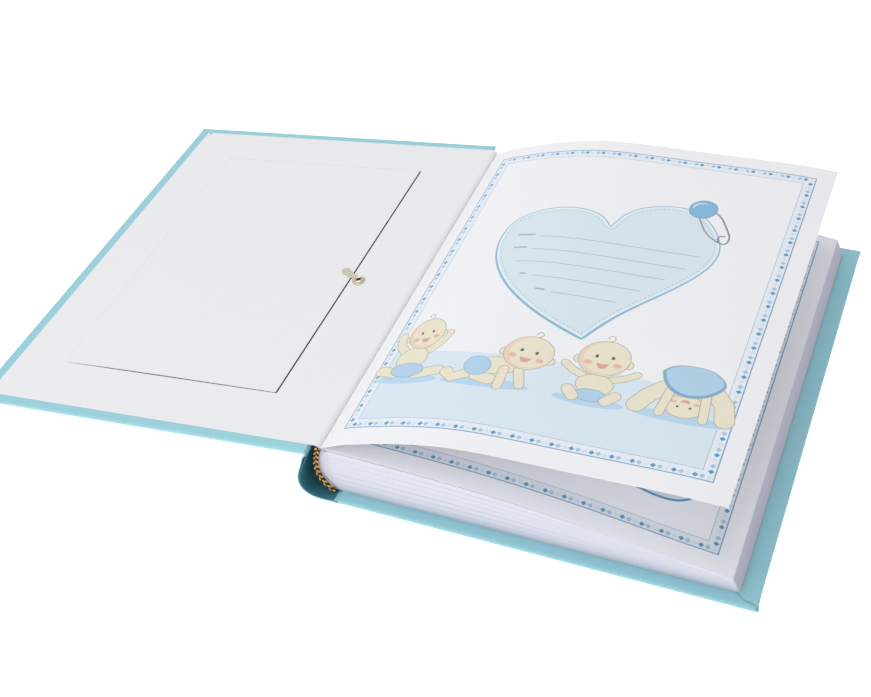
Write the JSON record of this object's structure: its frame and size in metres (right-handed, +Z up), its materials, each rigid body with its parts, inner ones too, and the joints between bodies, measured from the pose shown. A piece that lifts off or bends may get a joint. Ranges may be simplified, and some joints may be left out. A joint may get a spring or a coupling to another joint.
{
  "type": "scrapbook album",
  "caption": "Case-bound scrapbook album lying open at its first leaf: hinged covers, hollow spine, turning leaves, headbands, and a photo flap held by a turn button.",
  "frame": {"origin": "on the table under the middle of the open album: the centre of the underside of its bounding box", "axes": "+X from the open front cover's fore edge to the back cover's fore edge, +Y along the spine to the head of the pages, +Z up"},
  "size_m": [0.4772, 0.29, 0.0674],
  "materials": {
    "covering": "matte laminated covering paper, light turquoise, with a fine linen emboss",
    "endpaper": "smooth white endpaper",
    "grey_board": "uncoated grey binder's board",
    "printed_leaf": "white card with a satin print in light blue",
    "leaf_card": "smooth white card",
    "clear_film": "clear glossy film",
    "button_metal": "pale nickel-plated brass, lightly polished",
    "rivet_metal": "pale nickel-plated brass, rolled",
    "headband": "black and gold thread, worked in a chevron",
    "mull": "open-weave mull set in glue"
  },
  "bodies": {
    "back_cover": {"back_board": "grey_board", "back_covering": "covering", "back_pastedown": "endpaper"},
    "text_block": {"spine_covering": "covering", "spine_liner": "grey_board", "spine_lining": "mull", "headband_tail": "headband", "headband_head": "headband", "binding_guards": "leaf_card", "back_endleaf": "endpaper", "leaf_1_guard": "leaf_card", "leaf_section_5": "leaf_card", "leaf_section_6": "leaf_card", "leaf_section_7": "leaf_card"},
    "front_joint": {"front_joint_strip": "endpaper"},
    "front_cover": {"front_board": "grey_board", "front_covering": "covering", "front_pastedown": "endpaper", "window_mat": "grey_board", "window_film": "clear_film", "button_rivet": "rivet_metal", "button_washer": "rivet_metal"},
    "window_flap": {"flap_board": "grey_board", "flap_facing": "endpaper"},
    "turn_button": {"turn_button": "button_metal"},
    "leaf_1": {"leaf_1": "printed_leaf"},
    "leaf_2": {"leaf_2": "printed_leaf"},
    "leaf_section_1": {"leaf_section_1": "leaf_card"},
    "leaf_section_2": {"leaf_section_2": "leaf_card"},
    "leaf_section_3": {"leaf_section_3": "leaf_card"},
    "leaf_section_4": {"leaf_section_4": "leaf_card"}
  },
  "joints": [
    {"name": "back_joint", "type": "hinge", "parent": "back_cover", "child": "text_block", "pos_m": [-0.0105, 0, 0.0009], "axis": [0, -1, 0], "range_deg": [0, 30]},
    {"name": "front_joint_slide", "type": "slide", "parent": "back_cover", "child": "front_joint", "axis": [-0.9984, 0, -0.0571], "range_m": [0, 0.02105]},
    {"name": "front_cover_hinge", "type": "hinge", "parent": "front_joint", "child": "front_cover", "pos_m": [-0.0047, 0, 0.0413], "axis": [0, -1, 0], "range_deg": [-170, 0]},
    {"name": "window_flap_hinge", "type": "hinge", "parent": "front_cover", "child": "window_flap", "pos_m": [-0.19725, 0, 0.01642], "axis": [0, -1, 0], "range_deg": [0, 150]},
    {"name": "turn_button_spin", "type": "hinge", "parent": "front_cover", "child": "turn_button", "pos_m": [-0.04082, -0.004, 0.03472], "axis": [-0.1162, 0, 0.9932], "continuous": true},
    {"name": "leaf_1_turn", "type": "hinge", "parent": "text_block", "child": "leaf_1", "pos_m": [0.0035, 0, 0.0402], "axis": [0, -1, 0], "range_deg": [0, 125]},
    {"name": "leaf_2_turn", "type": "hinge", "parent": "text_block", "child": "leaf_2", "pos_m": [0.003, 0, 0.0356], "axis": [0, -1, 0], "range_deg": [0, 40.1]},
    {"name": "leaf_section_1_turn", "type": "hinge", "parent": "text_block", "child": "leaf_section_1", "pos_m": [0.003, 0, 0.03117], "axis": [0, -1, 0], "range_deg": [0, 24.1]},
    {"name": "leaf_section_2_turn", "type": "hinge", "parent": "text_block", "child": "leaf_section_2", "pos_m": [0.003, 0, 0.02673], "axis": [0, -1, 0], "range_deg": [0, 18.1]},
    {"name": "leaf_section_3_turn", "type": "hinge", "parent": "text_block", "child": "leaf_section_3", "pos_m": [0.003, 0, 0.0223], "axis": [0, -1, 0], "range_deg": [0, 12.1]},
    {"name": "leaf_section_4_turn", "type": "hinge", "parent": "text_block", "child": "leaf_section_4", "pos_m": [0.003, 0, 0.01787], "axis": [0, -1, 0], "range_deg": [0, 6.1]}
  ],
  "couplings": [
    {"joint": "front_joint_slide", "follows": "back_joint", "m_per_rad": 0.040172},
    {"joint": "leaf_2_turn", "follows": "leaf_1_turn", "ratio": 0.32},
    {"joint": "leaf_section_1_turn", "follows": "leaf_1_turn", "ratio": 0.192},
    {"joint": "leaf_section_2_turn", "follows": "leaf_1_turn", "ratio": 0.144},
    {"joint": "leaf_section_3_turn", "follows": "leaf_1_turn", "ratio": 0.096},
    {"joint": "leaf_section_4_turn", "follows": "leaf_1_turn", "ratio": 0.048}
  ]
}
